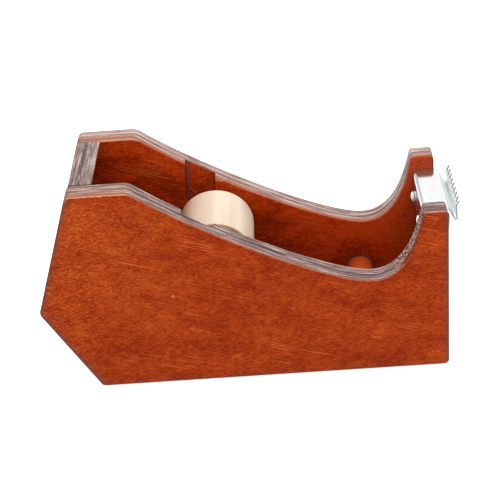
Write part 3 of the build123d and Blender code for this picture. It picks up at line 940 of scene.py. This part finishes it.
def ring(mesh, x, centre, radii):
    """Loop of points round a screw's axis, one for each radius."""
    points = []
    for step, radius in enumerate(radii):
        turn = 2 * math.pi * step / len(radii)
        spot = centre + Vector((x, radius * math.cos(turn), radius * math.sin(turn)))
        points.append(mesh.verts.new(spot))
    return points


def skin_between(mesh, first, second):
    """Quads between two loops of the same count."""
    count = len(first)
    for i in range(count):
        j = (i + 1) % count
        mesh.faces.new((first[i], first[j], second[j], second[i]))


def thread_radii(x, start):
    """Radii round the shank at one place, for a single-start helical thread."""
    radii = []
    for step in range(thread_steps):
        phase = ((x - start) / thread_pitch - step / thread_steps) % 1.0
        crest = 1 - abs(2 * phase - 1)
        short = max(0.0, 1 - (x - start) / tip_length)
        limit = shank_radius * math.sqrt(max(0.12, 1 - short ** 2))
        radii.append(min(shank_radius - thread_depth * (1 - crest), limit))
    return radii


screw_mesh = bmesh.new()
for side in (-1, 1):
    centre = Vector((0, side * screw_y, screw_z))
    ring_count = round((head_x - screw_low.x) / thread_pitch * rings_per_turn)
    loops = []
    for i in range(ring_count + 1):
        x = screw_low.x + (head_x - screw_low.x) * i / ring_count
        loops.append(ring(screw_mesh, x, centre, thread_radii(x, screw_low.x)))
    screw_mesh.faces.new(loops[0])
    head_profile = [(0.0, 1.0)]
    straight = screw_high.x - head_x - head_dome
    for i in range(dome_steps + 1):
        angle = math.pi / 2 * i / dome_steps
        share = 1 - head_dome / head_radius * (1 - math.cos(angle))
        head_profile.append((straight + head_dome * math.sin(angle), share))
    for x, share in head_profile:
        loops.append(ring(screw_mesh, head_x + x, centre, [head_radius * share] * thread_steps))
    for first, second in zip(loops, loops[1:]):
        skin_between(screw_mesh, first, second)
    # The head's flat top, with a cross recess cut into it
    long, wide = recess_half_length, recess_half_width
    corners = ((long, -wide), (long, wide), (wide, wide), (wide, long), (-wide, long), (-wide, wide),
               (-long, wide), (-long, -wide), (-wide, -wide), (-wide, -long), (wide, -long), (wide, -wide))
    bottom_x = screw_high.x - recess_depth
    mouth = [screw_mesh.verts.new(centre + Vector((screw_high.x, y, z))) for y, z in corners]
    bottom = [screw_mesh.verts.new(centre + Vector((bottom_x, y * 0.7, z * 0.7))) for y, z in corners]
    skin_between(screw_mesh, mouth, bottom)
    screw_mesh.faces.new(bottom)
    border = []
    for loop in (loops[-1], mouth):
        border += [screw_mesh.edges.get((loop[i - 1], loop[i])) for i in range(len(loop))]
    bmesh.ops.triangle_fill(screw_mesh, edges=border, use_beauty=True)
bmesh.ops.recalc_face_normals(screw_mesh, faces=screw_mesh.faces)
screw_data = bpy.data.meshes.new("cutter_screws_threaded")
screw_mesh.to_mesh(screw_data)
screw_mesh.free()
screws = bpy.data.objects.new("cutter_screws_threaded", screw_data)
bpy.context.scene.collection.objects.link(screws)


def around_screw(tree, place):
    """Place along X, and distance from the nearer screw's axis."""
    axes = add(tree, "ShaderNodeSeparateXYZ", {0: place.outputs["Object"]}).outputs
    sideways = calc(tree, "SUBTRACT", calc(tree, "ABSOLUTE", axes[1]), screw_y)
    return axes[0], distance(tree, sideways, calc(tree, "SUBTRACT", axes[2], screw_z))


def thread_groove_shade(tree, place):
    """The floors of the thread, darkened as painted shade."""
    x, out = around_screw(tree, place)
    low_part = fade(tree, out, shank_radius - 0.8 * thread_depth, shank_radius - 0.3 * thread_depth)
    beyond_tip = spread(tree, x, screw_low.x + tip_length * 0.4, screw_low.x + tip_length * 0.7)
    mask = product(tree, low_part, beyond_tip, fade(tree, x, head_x - 0.0001, head_x), 0.95)
    return mask, thread_shade_dark, 0.2, 0.0


def driven_heads(tree, place):
    """The heads, rubbed bright by the screwdriver."""
    x = add(tree, "ShaderNodeSeparateXYZ", {0: place.outputs["Object"]}).outputs[0]
    return spread(tree, x, head_x - 0.0001, head_x), head_grey, 0.0, -0.7


def darker_recess_floors(tree, place):
    """The floors of the cross recesses, made darker."""
    x, out = around_screw(tree, place)
    sunk = product(
        tree, spread(tree, x, head_x, head_x + 0.0001),
        fade(tree, x, screw_high.x - recess_depth, screw_high.x - 0.0001),
    )
    mask = product(tree, sunk, fade(tree, out, head_radius * 0.6, head_radius * 0.65), 0.8)
    return mask, recess_dark, 0.3, 0.4


screw_data.materials.append(
    metal(
        "Zinc-plated screw", zinc, 0.35, 0.1, (1.0, 1.0, 1.0), 0.2,
        (thread_groove_shade, driven_heads, darker_recess_floors),
    )
)
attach(screws, "frame")
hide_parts("cutter_screws")


# ==== Pads ====
# Four thin self-adhesive rubber discs, one near each corner of the foot, which keep the
# dispenser from sliding and hold its bare edges off the desk.

rubber_black = "1A1A1B"
rubber = moulded("Black rubber", rubber_black, 0.75, 0.0008)
for node in ("rear_near_pad", "rear_far_pad", "front_near_pad", "front_far_pad"):
    dress(node, rubber)


# ==== Studio ====
# A white sweep lit a little from below, a bright even surround, and three large softboxes: one
# in front and above, one overhead, and a weak one behind that glances off the cutter's plate.

surround = 0.9
sweep_glow = 0.85
sweep_white = "DCDCDC"
sweep_shade = "D8D8D7"
centre = (cad_box[0] + cad_box[1]) / 2

bpy.ops.mesh.primitive_plane_add(size=6.0, location=(0, 0, 0))
sweep = bpy.context.object
sweep.name = "studio_floor"
floor_white, tree, place = blank_material("White sweep")
paper = noise(tree, place.outputs["Object"], 400.0, 3.0)
shade = blend(tree, spread(tree, paper, 0.3, 0.7), paint(sweep_white), paint(sweep_shade))
shader = add(
    tree, "ShaderNodeBsdfPrincipled",
    {"Base Color": shade, "Roughness": 0.9, "Specular IOR Level": 0.1, "Emission Color": shade,
     "Emission Strength": sweep_glow},
)
add(tree, "ShaderNodeOutputMaterial", {"Surface": shader.outputs[0]})
sweep.data.materials.append(floor_white)

world = bpy.data.worlds.new("Studio")
bpy.context.scene.world = world
world.use_nodes = True
world.node_tree.nodes["Background"].inputs["Color"].default_value = (1.0, 1.0, 1.0, 1.0)
world.node_tree.nodes["Background"].inputs["Strength"].default_value = surround


def softbox(name, place, size, power, target):
    """Large square area light aimed at a point."""
    light = bpy.data.lights.new(name, "AREA")
    light.shape = "SQUARE"
    light.size = size
    light.energy = power
    lamp = bpy.data.objects.new(name, light)
    lamp.location = place
    lamp.rotation_euler = (Vector(target) - Vector(place)).to_track_quat("-Z", "Y").to_euler()
    bpy.context.scene.collection.objects.link(lamp)
    return lamp


softbox("key softbox", (0.1, -0.8, 0.7), 0.8, 6.0, centre)
softbox("overhead softbox", (0.1, 0.1, 0.9), 0.8, 6.0, centre)
softbox("back softbox", (0.16, 0.9, 0.54), 0.6, 0.8, centre)

focal_length = 97.72
camera_turn = math.radians(2.27)
camera_height = math.radians(30.58)
camera_roll = math.radians(-5.06)
camera_distance = 0.44894
aim_shift = (0.00006, 0.0, -0.0006)
camera_data = bpy.data.cameras.new("camera")
camera_data.lens = focal_length
camera_data.sensor_width = 36.0
camera = bpy.data.objects.new("camera", camera_data)
turn = (
    Matrix.Rotation(camera_turn, 4, "Z")
    @ Matrix.Rotation(math.pi / 2 - camera_height, 4, "X")
    @ Matrix.Rotation(camera_roll, 4, "Z")
)
aim = centre + Vector(aim_shift)
camera.matrix_world = Matrix.Translation(aim) @ turn @ Matrix.Translation((0, 0, camera_distance))
bpy.context.scene.collection.objects.link(camera)
bpy.context.scene.camera = camera
bpy.context.scene.view_settings.view_transform = "Standard"
